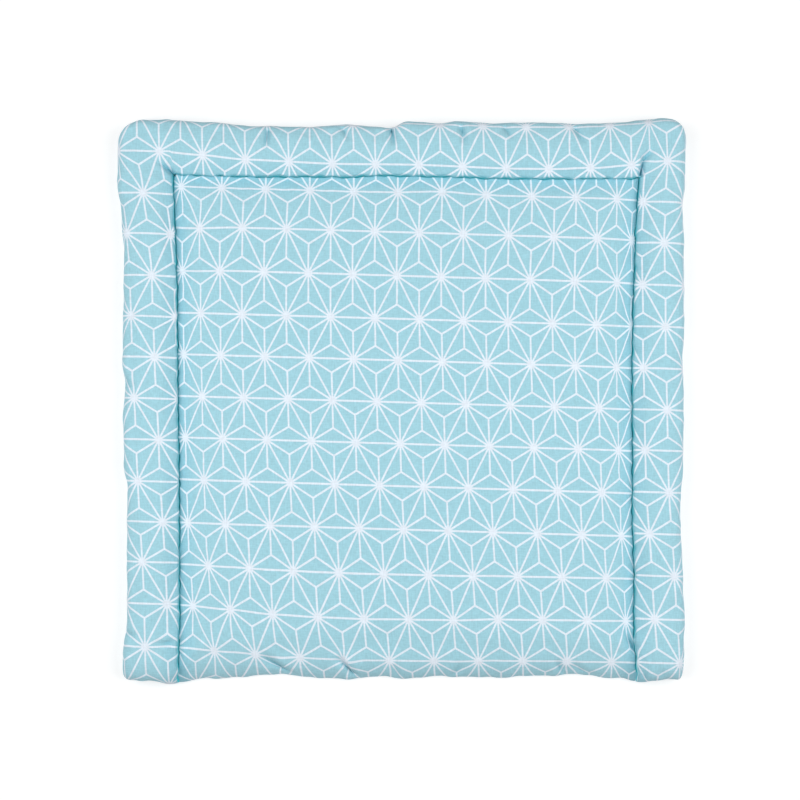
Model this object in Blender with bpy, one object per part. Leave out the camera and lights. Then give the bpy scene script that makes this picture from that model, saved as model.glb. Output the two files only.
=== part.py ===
"""Padded changing mat, lying flat: one filled cloth bag with a raised bolster down each side and
across the head, each bolster parted from the lying pad by a sewn channel.

Metres, +Z up. The mat's head points to +Y, and it lies on z = 0 with the origin under its middle.
"""

import math
from collections import namedtuple

import bmesh
import bpy
from mathutils import Vector

# Size over all
MAT_WIDTH = 0.776
MAT_LENGTH = 0.770

# Heights above the surface that the mat lies on
BOLSTER_HEIGHT = 0.048
PAD_HEIGHT = 0.034
PAD_CROWN = 0.006
CHANNEL_TOP = 0.017
CHANNEL_UNDER = 0.011
RIM_HEIGHT = 0.021
FRONT_RIM_HEIGHT = 0.009

# Where the three channels are sewn, before their unevenness
LEFT_CHANNEL = -0.304
RIGHT_CHANNEL = 0.313
HEAD_CHANNEL = 0.303

# How far in from the rim or from a channel the cloth takes to reach its full height
SIDE_ROLL = 0.022
FRONT_ROLL = 0.032
UNDER_ROLL = 0.016
BOLSTER_SHOULDER = 0.036
PAD_SHOULDER = 0.058
UNDER_SHOULDER = 0.022

# How square the cloth rolls over: 2 is round, less is sloped, more is boxy
SIDE_BULGE = 2.1
FRONT_PAD_BULGE = 1.75
FRONT_BOLSTER_BULGE = 3.0
SHOULDER_BULGE = 2.0

# How far a side bolster's end reaches into the pad's front, and how far in the front's shape carries
BOLSTER_END_FROM = -0.010
BOLSTER_END_TO = 0.020
FRONT_RIM_REACH = 0.080
FRONT_SHIFT_REACH = 0.110
HEAD_SHIFT_FADE = 4

HEAD_LEFT_CORNER_RADIUS = 0.044
HEAD_RIGHT_CORNER_RADIUS = 0.028
FRONT_CORNER_RADIUS = 0.008

# Cloth rows and columns
RIM_STEPS = 4
BOLSTER_STEPS = 5
PAD_STEPS_ACROSS = 28
PAD_STEPS_ALONG = 28
CHANNEL_STEPS = (0.0015, 0.004, 0.008, 0.014, 0.022, 0.032)
FRONT_STEPS = (0.042, 0.053, 0.066)
FLAT_ANGLE = math.radians(1.2)
MERGE_DISTANCE = 0.00002

CLOTH_COLOUR = (0.392, 0.687, 0.768, 1.0)
CLOTH_ROUGHNESS = 0.85

# How far the sewn rim is drawn in from the size over all, by place along it
Rim = namedtuple("Rim", "along inset")
LEFT_RIM = (
    Rim(along=-0.385, inset=0.0080),
    Rim(along=-0.361, inset=0.0075),
    Rim(along=-0.327, inset=0.0095),
    Rim(along=-0.300, inset=0.0156),
    Rim(along=-0.191, inset=0.0153),
    Rim(along=-0.120, inset=0.0156),
    Rim(along=-0.089, inset=0.0105),
    Rim(along=-0.021, inset=0.0088),
    Rim(along=0.021, inset=0.0116),
    Rim(along=0.051, inset=0.0073),
    Rim(along=0.190, inset=0.0088),
    Rim(along=0.251, inset=0.0048),
    Rim(along=0.285, inset=0.0007),
    Rim(along=0.385, inset=0.0000),
)
RIGHT_RIM = (
    Rim(along=-0.385, inset=0.0100),
    Rim(along=-0.365, inset=0.0080),
    Rim(along=-0.347, inset=0.0054),
    Rim(along=-0.300, inset=0.0040),
    Rim(along=-0.215, inset=0.0068),
    Rim(along=-0.160, inset=0.0093),
    Rim(along=-0.068, inset=0.0066),
    Rim(along=0.010, inset=0.0055),
    Rim(along=0.046, inset=0.0068),
    Rim(along=0.109, inset=0.0042),
    Rim(along=0.220, inset=0.0040),
    Rim(along=0.263, inset=0.0054),
    Rim(along=0.306, inset=0.0014),
    Rim(along=0.385, inset=0.0000),
)
HEAD_RIM = (
    Rim(along=-0.388, inset=0.0020),
    Rim(along=-0.315, inset=0.0020),
    Rim(along=-0.266, inset=0.0068),
    Rim(along=-0.190, inset=0.0130),
    Rim(along=-0.114, inset=0.0140),
    Rim(along=-0.076, inset=0.0102),
    Rim(along=-0.030, inset=0.0142),
    Rim(along=-0.014, inset=0.0152),
    Rim(along=0.005, inset=0.0062),
    Rim(along=0.049, inset=0.0086),
    Rim(along=0.071, inset=0.0062),
    Rim(along=0.125, inset=0.0088),
    Rim(along=0.180, inset=0.0075),
    Rim(along=0.224, inset=0.0095),
    Rim(along=0.278, inset=0.0086),
    Rim(along=0.321, inset=0.0040),
    Rim(along=0.351, inset=0.0000),
    Rim(along=0.388, inset=0.0010),
)
FRONT_RIM = (
    Rim(along=-0.388, inset=0.0080),
    Rim(along=-0.342, inset=0.0054),
    Rim(along=-0.304, inset=0.0005),
    Rim(along=-0.266, inset=0.0068),
    Rim(along=-0.220, inset=0.0082),
    Rim(along=-0.179, inset=0.0128),
    Rim(along=-0.114, inset=0.0080),
    Rim(along=-0.081, inset=0.0052),
    Rim(along=-0.038, inset=0.0096),
    Rim(along=-0.002, inset=0.0068),
    Rim(along=0.052, inset=0.0096),
    Rim(along=0.120, inset=0.0080),
    Rim(along=0.180, inset=0.0102),
    Rim(along=0.234, inset=0.0122),
    Rim(along=0.289, inset=0.0068),
    Rim(along=0.318, inset=0.0020),
    Rim(along=0.343, inset=0.0068),
    Rim(along=0.388, inset=0.0080),
)

# How far a channel wanders from where it is sewn, towards +X or +Y, by place along it
Channel = namedtuple("Channel", "along shift")
LEFT_CHANNEL_LINE = (
    Channel(along=-0.385, shift=-0.0010),
    Channel(along=-0.354, shift=0.0011),
    Channel(along=-0.302, shift=0.0038),
    Channel(along=-0.109, shift=0.0024),
    Channel(along=0.020, shift=-0.0003),
    Channel(along=0.136, shift=-0.0017),
    Channel(along=0.247, shift=-0.0057),
    Channel(along=0.303, shift=-0.0085),
)
RIGHT_CHANNEL_LINE = (
    Channel(along=-0.385, shift=0.0056),
    Channel(along=-0.354, shift=0.0042),
    Channel(along=-0.272, shift=0.0015),
    Channel(along=-0.120, shift=-0.0026),
    Channel(along=-0.038, shift=0.0001),
    Channel(along=0.020, shift=-0.0012),
    Channel(along=0.187, shift=0.0029),
    Channel(along=0.258, shift=0.0069),
    Channel(along=0.303, shift=0.0100),
)
HEAD_CHANNEL_LINE = (
    Channel(along=-0.304, shift=0.0054),
    Channel(along=-0.270, shift=0.0026),
    Channel(along=-0.138, shift=0.0000),
    Channel(along=-0.098, shift=0.0013),
    Channel(along=-0.068, shift=0.0000),
    Channel(along=-0.027, shift=0.0026),
    Channel(along=0.036, shift=0.0013),
    Channel(along=0.133, shift=-0.0018),
    Channel(along=0.208, shift=-0.0020),
    Channel(along=0.313, shift=-0.0014),
)

# The main folds in the top cloth: troughs from one point to another
Fold = namedtuple("Fold", "from_x from_y to_x to_y width depth")
FOLDS = (
    # Channels that run on as folds towards the head corners
    Fold(from_x=-0.308, from_y=0.306, to_x=-0.334, to_y=0.326, width=0.018, depth=0.012),
    Fold(from_x=0.322, from_y=0.306, to_x=0.334, to_y=0.338, width=0.018, depth=0.014),
    # Tucks in the head bolster
    Fold(from_x=-0.014, from_y=0.374, to_x=-0.008, to_y=0.346, width=0.018, depth=0.006),
    Fold(from_x=-0.188, from_y=0.374, to_x=-0.180, to_y=0.346, width=0.018, depth=0.003),
    Fold(from_x=0.238, from_y=0.374, to_x=0.250, to_y=0.350, width=0.018, depth=0.003),
    # Tucks where the pad rolls over at the front
    Fold(from_x=-0.190, from_y=-0.342, to_x=-0.156, to_y=-0.366, width=0.020, depth=0.004),
    Fold(from_x=-0.100, from_y=-0.340, to_x=-0.058, to_y=-0.372, width=0.020, depth=0.004),
    Fold(from_x=0.216, from_y=-0.346, to_x=0.226, to_y=-0.370, width=0.020, depth=0.004),
    # Creases beside the ends of the side channels
    Fold(from_x=0.290, from_y=-0.312, to_x=0.312, to_y=-0.328, width=0.016, depth=0.004),
    Fold(from_x=-0.342, from_y=-0.331, to_x=-0.314, to_y=-0.323, width=0.016, depth=0.003),
    # A tuck in the left side
    Fold(from_x=-0.380, from_y=0.036, to_x=-0.364, to_y=0.016, width=0.018, depth=0.004),
)


def read_table(rows, along):
    """The second column of a table at a place along the first, on a smooth curve through its rows."""
    places = [row[0] for row in rows]
    values = [row[1] for row in rows]
    if along <= places[0]:
        return values[0]
    if along >= places[-1]:
        return values[-1]
    right = next(k for k, place in enumerate(places) if place > along)
    left = right - 1
    share = (along - places[left]) / (places[right] - places[left])
    eased = share * share * (3 - 2 * share)
    return values[left] + (values[right] - values[left]) * eased


def between(value, low, high):
    """How far value lies from low to high, from 0 to 1, with a soft start and stop."""
    share = min(max((value - low) / (high - low), 0.0), 1.0)
    return share * share * (3 - 2 * share)


def rolled(distance, reach, bulge):
    """The share of its full height that filled cloth has at a distance from where it is sewn down."""
    share = min(max(distance / reach, 0.0), 1.0)
    return (1 - (1 - share) ** bulge) ** (1 / bulge)


def spaced(start, stop, steps):
    """Places from start up to stop, without stop itself."""
    return [start + (stop - start) * k / steps for k in range(steps)]


def rim_places(reach):
    """Distances in from a rim, closest together at the rim, where the cloth is steepest."""
    return [reach * (1 - math.cos(math.pi / 2 * k / RIM_STEPS)) for k in range(RIM_STEPS)]


def columns():
    """Places across the mat, from the left rim to the right rim, that the cloth is bent at."""
    half = MAT_WIDTH / 2
    clear = CHANNEL_STEPS[-1]
    places = [-half + step for step in rim_places(SIDE_ROLL)]
    places += spaced(-half + SIDE_ROLL, LEFT_CHANNEL - clear, BOLSTER_STEPS)
    places += [LEFT_CHANNEL - step for step in reversed(CHANNEL_STEPS)] + [LEFT_CHANNEL]
    places += [LEFT_CHANNEL + step for step in CHANNEL_STEPS[:-1]]
    places += spaced(LEFT_CHANNEL + clear, RIGHT_CHANNEL - clear, PAD_STEPS_ACROSS)
    places += [RIGHT_CHANNEL - step for step in reversed(CHANNEL_STEPS)] + [RIGHT_CHANNEL]
    places += [RIGHT_CHANNEL + step for step in CHANNEL_STEPS[:-1]]
    places += spaced(RIGHT_CHANNEL + clear, half - SIDE_ROLL, BOLSTER_STEPS)
    places += [half - SIDE_ROLL] + [half - step for step in reversed(rim_places(SIDE_ROLL))]
    return places


def rows():
    """Places along the mat, from the front rim to the head rim, that the cloth is bent at."""
    half = MAT_LENGTH / 2
    clear = CHANNEL_STEPS[-1]
    places = [-half + step for step in rim_places(FRONT_ROLL)]
    places += [-half + step for step in (FRONT_ROLL, *FRONT_STEPS[:-1])]
    places += spaced(-half + FRONT_STEPS[-1], HEAD_CHANNEL - clear, PAD_STEPS_ALONG)
    places += [HEAD_CHANNEL - step for step in reversed(CHANNEL_STEPS)] + [HEAD_CHANNEL]
    places += [HEAD_CHANNEL + step for step in CHANNEL_STEPS[:-1]]
    places += spaced(HEAD_CHANNEL + clear, half - SIDE_ROLL, BOLSTER_STEPS)
    places += [half - SIDE_ROLL] + [half - step for step in reversed(rim_places(SIDE_ROLL))]
    return places


def channel_distance(x, y):
    """Distance from the line of the three channels, which run up one side, across and down the other."""
    if y <= HEAD_CHANNEL:
        return min(abs(x - LEFT_CHANNEL), abs(x - RIGHT_CHANNEL), HEAD_CHANNEL - y)
    outside = max(LEFT_CHANNEL - x, x - RIGHT_CHANNEL, 0.0)
    return math.hypot(outside, y - HEAD_CHANNEL)


def on_pad(x, y):
    return LEFT_CHANNEL < x < RIGHT_CHANNEL and y < HEAD_CHANNEL


def outer_distance(x, y):
    """Distance of a point in a side bolster from that bolster's channel, past its end too."""
    beside = max(LEFT_CHANNEL - x, x - RIGHT_CHANNEL)
    return math.hypot(max(beside, 0.0), max(y - HEAD_CHANNEL, 0.0))


def top_height(x, y):
    """Height of the top cloth away from the rims: pad, bolsters and the channels between them."""
    if on_pad(x, y):
        shoulders = (
            rolled(x - LEFT_CHANNEL, PAD_SHOULDER, SHOULDER_BULGE)
            * rolled(RIGHT_CHANNEL - x, PAD_SHOULDER, SHOULDER_BULGE)
            * rolled(HEAD_CHANNEL - y, PAD_SHOULDER, SHOULDER_BULGE)
        )
        middle = math.cos(math.pi * x / MAT_WIDTH) * math.cos(math.pi * y / MAT_LENGTH)
        full = PAD_HEIGHT + PAD_CROWN * max(middle, 0.0)
        return CHANNEL_TOP + (full - CHANNEL_TOP) * shoulders
    shoulder = rolled(outer_distance(x, y), BOLSTER_SHOULDER, SHOULDER_BULGE)
    return CHANNEL_TOP + (BOLSTER_HEIGHT - CHANNEL_TOP) * shoulder


def under_height(x, y):
    """Height of the under cloth away from the rims: flat on the floor but for the channels."""
    return CHANNEL_UNDER * (1 - rolled(channel_distance(x, y), UNDER_SHOULDER, SHOULDER_BULGE))


def in_bolster_end(x):
    """1 in a side bolster, 0 on the pad."""
    return max(
        between(LEFT_CHANNEL - x, BOLSTER_END_FROM, BOLSTER_END_TO),
        between(x - RIGHT_CHANNEL, BOLSTER_END_FROM, BOLSTER_END_TO),
    )


def rim_height(x, y):
    """Height of the sewn rim: half way up a bolster, and near the floor where the pad ends."""
    front = FRONT_RIM_HEIGHT + (RIM_HEIGHT - FRONT_RIM_HEIGHT) * in_bolster_end(x)
    return front + (RIM_HEIGHT - front) * between(y + MAT_LENGTH / 2, 0, FRONT_RIM_REACH)


def rim_share(x, y, side_reach, front_reach, front_bulge):
    """0 on the rim, rising to 1 where the cloth has reached its full height."""
    sides = rolled(MAT_WIDTH / 2 - abs(x), side_reach, SIDE_BULGE)
    head = rolled(MAT_LENGTH / 2 - y, side_reach, SIDE_BULGE)
    front = rolled(MAT_LENGTH / 2 + y, front_reach, front_bulge)
    return sides * head * front


def fold_depth(x, y):
    """How far the folds press the top cloth down at a point."""
    depth = 0.0
    for fold in FOLDS:
        start = Vector((fold.from_x, fold.from_y))
        run = Vector((fold.to_x, fold.to_y)) - start
        share = (Vector((x, y)) - start).dot(run) / run.length_squared
        nearest = start + run * min(max(share, 0.0), 1.0)
        away = (Vector((x, y)) - nearest).length
        depth += fold.depth * math.exp(-((away / (fold.width / 2)) ** 2))
    return depth


def rounded_corner(x, y):
    """Draws the corners of the square of cloth in to round ones."""
    head_radius = HEAD_LEFT_CORNER_RADIUS if x < 0 else HEAD_RIGHT_CORNER_RADIUS
    radius = head_radius if y > 0 else FRONT_CORNER_RADIUS
    across = (radius - (MAT_WIDTH / 2 - abs(x))) / radius
    along = (radius - (MAT_LENGTH / 2 - abs(y))) / radius
    if across <= 0 or along <= 0:
        return x, y
    round_across = across * math.sqrt(1 - along**2 / 2)
    round_along = along * math.sqrt(1 - across**2 / 2)
    return (
        math.copysign(MAT_WIDTH / 2 - radius + radius * round_across, x),
        math.copysign(MAT_LENGTH / 2 - radius + radius * round_along, y),
    )


def drawn_in(x, y):
    """Moves a place on the even mat to where the uneven rims and channels put it."""
    half_width, half_length = MAT_WIDTH / 2, MAT_LENGTH / 2
    if x < LEFT_CHANNEL:
        share = (LEFT_CHANNEL - x) / (LEFT_CHANNEL + half_width)
        shift_x = share**2 * read_table(LEFT_RIM, y)
        shift_x += (1 - share) * read_table(LEFT_CHANNEL_LINE, y)
    elif x > RIGHT_CHANNEL:
        share = (x - RIGHT_CHANNEL) / (half_width - RIGHT_CHANNEL)
        shift_x = -(share**2) * read_table(RIGHT_RIM, y)
        shift_x += (1 - share) * read_table(RIGHT_CHANNEL_LINE, y)
    else:
        share = (x - LEFT_CHANNEL) / (RIGHT_CHANNEL - LEFT_CHANNEL)
        shift_x = (1 - share) * read_table(LEFT_CHANNEL_LINE, y)
        shift_x += share * read_table(RIGHT_CHANNEL_LINE, y)
    if y > HEAD_CHANNEL:
        share = (y - HEAD_CHANNEL) / (half_length - HEAD_CHANNEL)
        shift_y = -(share**2) * read_table(HEAD_RIM, x)
        shift_y += (1 - share) * read_table(HEAD_CHANNEL_LINE, x)
    else:
        share = (HEAD_CHANNEL - y) / (HEAD_CHANNEL + half_length)
        near_front = between(-y, half_length - FRONT_SHIFT_REACH, half_length)
        shift_y = near_front * read_table(FRONT_RIM, x)
        shift_y += (1 - share) ** HEAD_SHIFT_FADE * read_table(HEAD_CHANNEL_LINE, x)
    return x + shift_x, y + shift_y


def place_top(x, y):
    """Where a point of the top cloth lies."""
    bulge = FRONT_PAD_BULGE + (FRONT_BOLSTER_BULGE - FRONT_PAD_BULGE) * in_bolster_end(x)
    share = rim_share(x, y, SIDE_ROLL, FRONT_ROLL, bulge)
    rim = rim_height(x, y)
    place = drawn_in(*rounded_corner(x, y))
    height = rim + (top_height(x, y) - rim) * share
    lowest = rim + (CHANNEL_TOP - rim) * share
    return Vector((*place, max(height - fold_depth(*place) * share, lowest)))


def place_under(x, y):
    """Where a point of the under cloth lies."""
    share = rim_share(x, y, UNDER_ROLL, UNDER_ROLL, SIDE_BULGE)
    rim = rim_height(x, y)
    place = drawn_in(*rounded_corner(x, y))
    return Vector((*place, rim + (under_height(x, y) - rim) * share))


def cloth_panel(mesh, place):
    """Adds one square of cloth as a grid, each of whose points is put where place() says."""
    across, along = columns(), rows()
    made = bmesh.ops.create_grid(
        mesh, x_segments=len(across) - 1, y_segments=len(along) - 1, size=0.5
    )["verts"]
    for vertex in made:
        column = round((vertex.co.x + 0.5) * (len(across) - 1))
        row = round((vertex.co.y + 0.5) * (len(along) - 1))
        vertex.co = place(across[column], along[row])
    return made


def cloth_material():
    """Printed cotton, in the colour of its ground."""
    material = bpy.data.materials.new("printed_cotton")
    material.use_nodes = True
    shader = material.node_tree.nodes["Principled BSDF"]
    shader.inputs["Base Color"].default_value = CLOTH_COLOUR
    shader.inputs["Roughness"].default_value = CLOTH_ROUGHNESS
    shader.inputs["Metallic"].default_value = 0.0
    material.diffuse_color = CLOTH_COLOUR
    return material


def padded_mat(collection):
    """The mat: a top and an under panel sewn together round the rim, filled, and sewn through along
    the channels."""
    mesh = bmesh.new()
    top = cloth_panel(mesh, place_top)
    under = cloth_panel(mesh, place_under)
    bmesh.ops.reverse_faces(mesh, faces=list({face for v in under for face in v.link_faces}))
    bmesh.ops.dissolve_limit(
        mesh,
        angle_limit=FLAT_ANGLE,
        verts=[vertex for vertex in under if not vertex.is_boundary],
        edges=list({e for v in under for e in v.link_edges if not e.is_boundary}),
    )
    bmesh.ops.remove_doubles(mesh, verts=mesh.verts, dist=MERGE_DISTANCE)
    bmesh.ops.triangulate(mesh, faces=mesh.faces, quad_method="SHORT_EDGE")
    low = [min(v.co[k] for v in mesh.verts) for k in range(3)]
    high = [max(v.co[k] for v in mesh.verts) for k in range(3)]
    middle = Vector(((low[0] + high[0]) / 2, (low[1] + high[1]) / 2, low[2]))
    bmesh.ops.translate(mesh, verts=mesh.verts, vec=-middle)
    data = bpy.data.meshes.new("padded_mat")
    mesh.to_mesh(data)
    mesh.free()
    data.shade_smooth()
    mat = bpy.data.objects.new("padded_mat", data)
    data.materials.append(cloth_material())
    collection.objects.link(mat)
    return mat


def build():
    for obj in list(bpy.data.objects):
        bpy.data.objects.remove(obj, do_unlink=True)
    collection = bpy.data.collections.new("changing_mat")
    bpy.context.scene.collection.children.link(collection)
    padded_mat(collection)


build()
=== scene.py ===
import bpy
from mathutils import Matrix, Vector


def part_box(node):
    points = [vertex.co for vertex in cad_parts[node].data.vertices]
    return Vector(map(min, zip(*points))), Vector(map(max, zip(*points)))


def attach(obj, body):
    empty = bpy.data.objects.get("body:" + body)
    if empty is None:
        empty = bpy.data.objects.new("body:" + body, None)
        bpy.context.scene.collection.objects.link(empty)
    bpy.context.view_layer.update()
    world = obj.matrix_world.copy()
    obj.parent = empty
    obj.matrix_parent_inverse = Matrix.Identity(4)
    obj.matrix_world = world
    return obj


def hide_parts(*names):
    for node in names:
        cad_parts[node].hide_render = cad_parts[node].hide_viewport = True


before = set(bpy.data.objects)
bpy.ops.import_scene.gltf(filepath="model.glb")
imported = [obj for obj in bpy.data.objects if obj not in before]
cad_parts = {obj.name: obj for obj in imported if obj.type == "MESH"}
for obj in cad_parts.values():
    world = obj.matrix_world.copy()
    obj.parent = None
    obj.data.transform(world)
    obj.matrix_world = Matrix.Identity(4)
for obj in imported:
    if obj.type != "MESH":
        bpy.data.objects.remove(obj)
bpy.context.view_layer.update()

import math

import bpy
import numpy as np
from mathutils import Vector, noise

# Metres, +Z up. The head of the mat points to +Y, and it lies on its back on z = 0.

bodyName = "root"
cadLow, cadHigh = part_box("padded_mat")

print("frame loaded")


# Small helpers

def deselectAll():
    bpy.ops.object.select_all(action="DESELECT")


def makeActive(obj):
    deselectAll()
    obj.select_set(True)
    bpy.context.view_layer.objects.active = obj


def linearColour(hexCode):
    # sRGB hex to the linear values that a shader wants
    channels = [int(hexCode[i:i + 2], 16) / 255 for i in (1, 3, 5)]
    return tuple(c / 12.92 if c <= 0.04045 else ((c + 0.055) / 1.055) ** 2.4 for c in channels) + (1.0,)


def softStep(value, low, high):
    share = np.clip((value - low) / (high - low), 0, 1)
    return share * share * (3 - 2 * share)


def readTable(table, column, along):
    # a column of a table, on a smooth curve through its rows
    places = np.array([row["at"] for row in table])
    values = np.array([row[column] for row in table])
    right = np.clip(np.searchsorted(places, along), 1, len(places) - 1)
    share = softStep(along, places[right - 1], places[right])
    return values[right - 1] + (values[right] - values[right - 1]) * share


def rolled(distance, reach, bulge):
    # share of its full height that filled cloth has at a distance from where it is sewn down
    share = np.clip(distance / reach, 0, 1)
    return (1 - (1 - share) ** bulge) ** (1 / bulge)


def addNode(tree, kind, inputs=None, **settings):
    # inputs: socket name or number to a value, or to the socket that it is linked from
    node = tree.nodes.new(kind)
    for name, value in settings.items():
        setattr(node, name, value)
    for socket, value in (inputs or {}).items():
        if isinstance(value, bpy.types.NodeSocket):
            tree.links.new(value, node.inputs[socket])
        else:
            node.inputs[socket].default_value = value
    return node


# The mat's shape

mat = {
    "width": 0.776, "length": 0.770,
    "bolsterHeight": 0.048, "padHeight": 0.034, "padCrown": 0.006,
    "channelTop": 0.026, "channelUnder": 0.008,
    # the rim seam lies low at the foot, and reaches its full height this far up the sides
    "rimHeight": 0.021, "frontRimHeight": 0.006, "frontRimReach": 0.080,
    "leftChannel": -0.304, "rightChannel": 0.313, "headChannel": 0.303,
    # past a side channel: where the pad turns to bolster, and where the bolster's crest is
    "bolsterFade": (-0.010, 0.020), "bolsterCrest": 0.040,
    # how far in from a rim or channel the cloth takes to reach its full height
    "sideRoll": 0.019, "frontRoll": 0.048, "underRoll": 0.016,
    "bolsterShoulder": 0.036, "padShoulder": 0.034, "underShoulder": 0.022,
    # beside a channel the cloth first rises as a wall: how wide, and how much of the whole rise
    "wall": 0.005, "padWallShare": 0.62, "bolsterWallShare": 0.60,
    # how each rise bulges: 2 is round, less is sloped, more is boxy
    "sideBulge": 2.8, "frontPadBulge": 1.65, "frontBolsterBulge": 2.6,
    "padBulge": 1.4, "wallBulge": 2.0, "bolsterBulge": 1.8, "underBulge": 2.0, "foldBulge": 1.5,
    # a fold's lip and its pull on the cloth beside it, as shares of its depth, and where they
    # start, are strongest and end, as shares of its width
    "foldLip": 0.16, "foldPull": 0.25, "lipFrom": 0.4, "pullMost": 0.5, "foldSpread": 2,
    # the folds fade in from the rim, more slowly at the foot
    "footFree": 0.7,
    # painted shade and light in the colour: full painted shade in a fold this deep, painted light in a
    # channel this near, and painted shade beside a channel, which is weaker by a share on the bolsters
    "deepCrease": 0.010, "creaseFade": 1.5, "creaseReach": 0.0036,
    "shadeFrom": 0.004, "shadeTo": 0.026, "bolsterLessShade": 0.4, "lessShadeFrom": 0.002,
    # the cloth on both sides leans over the channel that it is sewn down at
    "bolsterLean": 0.0029, "padLean": 0.0027, "leanFrom": 0.0035, "leanReach": 0.014,
    # where the side channels fade out at the head, and how much the head channel's ends close up
    "channelEnd": 0.010, "headCloses": 0.4, "headClosesFrom": (0.19, 0.26),
    "headLeftCorner": 0.044, "headRightCorner": 0.028, "frontCorner": 0.011,
    # uneven rims: wavelength, amount, phase, and the share of it at the sides and the head
    "rimWaves": ((0.064, 0.0006, 0.9), (0.035, 0.0006, 2.6), (0.020, 0.0004, 0.2)), "sideWaves": 0.5,
    # how far up from the foot its drawn-in cloth and its waves reach
    "footDrawnFrom": 0.110, "footWavesFrom": 0.030,
    "rimSeamDepth": 0.0016, "rimSeamWidth": 0.0018,
    # the back panel is cut from another place in the cloth
    "backPanelFrom": (0.021, 0.013),
    # rows of cloth: angles round a rim in degrees, steps from a channel in metres
    "rimAngles": (0, 3, 7, 13, 21, 31, 43, 57, 73),
    "channelSteps": (0.0007, 0.0016, 0.003, 0.005, 0.008, 0.012, 0.017, 0.023, 0.030, 0.038),
    "padStep": 0.0062, "bolsterStep": 0.0055,
    # a hand-guided seam wobbles, and the cloth leans over it unevenly: wavelength, amount, phase
    "wobble": ((0.037, 0.0004, 1.9), (0.019, 0.0007, 3.3), (0.0135, 0.0006, 5.0)),
    "wobbleFade": (0.004, 0.016),
    "unevenLean": ((0.053, 0.20, 2.0), (0.027, 0.28, 0.7), (0.0165, 0.30, 4.4)),
}

halfWidth, halfLength = mat["width"] / 2, mat["length"] / 2
leftChannel, rightChannel, headChannel = mat["leftChannel"], mat["rightChannel"], mat["headChannel"]

# how far the sewn rims are drawn in, and how far the channels wander, by place along them
leftEdge = [
    {"at": -0.385, "drawnIn": 0.0120, "channel": 0.0012},
    {"at": -0.361, "drawnIn": 0.0120, "channel": 0.0030},
    {"at": -0.330, "drawnIn": 0.0138, "channel": 0.0044},
    {"at": -0.300, "drawnIn": 0.0178, "channel": 0.0050},
    {"at": -0.191, "drawnIn": 0.0169, "channel": 0.0042},
    {"at": -0.120, "drawnIn": 0.0172, "channel": 0.0035},
    {"at": -0.089, "drawnIn": 0.0121, "channel": 0.0031},
    {"at": -0.021, "drawnIn": 0.0104, "channel": 0.0016},
    {"at": 0.021, "drawnIn": 0.0132, "channel": 0.0009},
    {"at": 0.051, "drawnIn": 0.0089, "channel": 0.0006},
    {"at": 0.136, "drawnIn": 0.0099, "channel": -0.0005},
    {"at": 0.190, "drawnIn": 0.0104, "channel": -0.0024},
    {"at": 0.251, "drawnIn": 0.0064, "channel": -0.0050},
    {"at": 0.285, "drawnIn": 0.0007, "channel": -0.0068},
    {"at": 0.385, "drawnIn": 0.0000, "channel": -0.0085},
]
rightEdge = [
    {"at": -0.385, "drawnIn": 0.0100, "channel": 0.0046},
    {"at": -0.360, "drawnIn": 0.0080, "channel": 0.0028},
    {"at": -0.326, "drawnIn": 0.0076, "channel": 0.0008},
    {"at": -0.300, "drawnIn": 0.0064, "channel": -0.0004},
    {"at": -0.244, "drawnIn": 0.0084, "channel": 0.0004},
    {"at": -0.205, "drawnIn": 0.0096, "channel": -0.0005},
    {"at": -0.160, "drawnIn": 0.0117, "channel": -0.0018},
    {"at": -0.068, "drawnIn": 0.0066, "channel": -0.0008},
    {"at": 0.010, "drawnIn": 0.0055, "channel": -0.0010},
    {"at": 0.046, "drawnIn": 0.0068, "channel": -0.0008},
    {"at": 0.109, "drawnIn": 0.0042, "channel": 0.0008},
    {"at": 0.220, "drawnIn": 0.0040, "channel": 0.0046},
    {"at": 0.263, "drawnIn": 0.0054, "channel": 0.0072},
    {"at": 0.306, "drawnIn": 0.0014, "channel": 0.0100},
    {"at": 0.385, "drawnIn": 0.0000, "channel": 0.0100},
]
headEdge = [
    {"at": -0.388, "drawnIn": 0.0020, "channel": 0.0054},
    {"at": -0.315, "drawnIn": 0.0020, "channel": 0.0054},
    {"at": -0.266, "drawnIn": 0.0050, "channel": 0.0025},
    {"at": -0.190, "drawnIn": 0.0112, "channel": 0.0008},
    {"at": -0.114, "drawnIn": 0.0122, "channel": 0.0010},
    {"at": -0.076, "drawnIn": 0.0084, "channel": 0.0002},
    {"at": -0.030, "drawnIn": 0.0124, "channel": 0.0025},
    {"at": -0.014, "drawnIn": 0.0134, "channel": 0.0023},
    {"at": 0.005, "drawnIn": 0.0044, "channel": 0.0018},
    {"at": 0.049, "drawnIn": 0.0068, "channel": 0.0010},
    {"at": 0.071, "drawnIn": 0.0044, "channel": 0.0004},
    {"at": 0.125, "drawnIn": 0.0070, "channel": -0.0016},
    {"at": 0.180, "drawnIn": 0.0057, "channel": -0.0020},
    {"at": 0.224, "drawnIn": 0.0077, "channel": -0.0020},
    {"at": 0.278, "drawnIn": 0.0068, "channel": -0.0016},
    {"at": 0.321, "drawnIn": 0.0022, "channel": -0.0014},
    {"at": 0.351, "drawnIn": 0.0000, "channel": -0.0014},
    {"at": 0.388, "drawnIn": 0.0010, "channel": -0.0014},
]
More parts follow.
